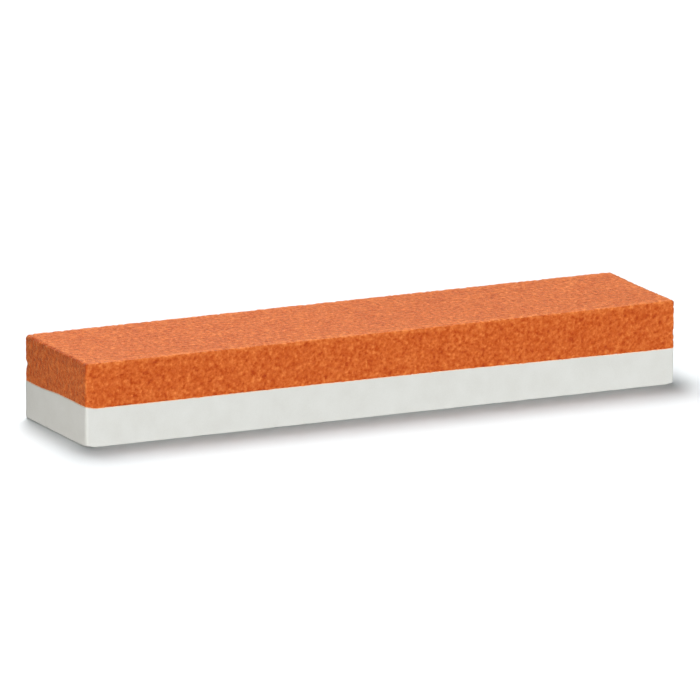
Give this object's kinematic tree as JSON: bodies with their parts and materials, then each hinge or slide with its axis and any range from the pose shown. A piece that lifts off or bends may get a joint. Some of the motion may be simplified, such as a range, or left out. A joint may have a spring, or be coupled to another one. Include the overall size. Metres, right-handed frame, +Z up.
{
  "type": "sharpening whetstone",
  "caption": "Rectangular combination bench stone for sharpening blades: an open-grained orange coarse abrasive slab bonded on top of a smooth white fine one.",
  "frame": {"origin": "centre of the underside, which is the fine slab's outer face, on the surface that the stone lies on", "axes": "+X along the stone's length, +Y across its width, +Z up from the fine side to the coarse side"},
  "size_m": [0.2, 0.045, 0.026],
  "materials": {
    "fine_grit": "matte",
    "bond_adhesive": "satin",
    "coarse_grit": "matte"
  },
  "bodies": {
    "root": {"fine_grit_layer": "fine_grit", "bond_film": "bond_adhesive", "coarse_grit_layer": "coarse_grit"}
  },
  "joints": []
}
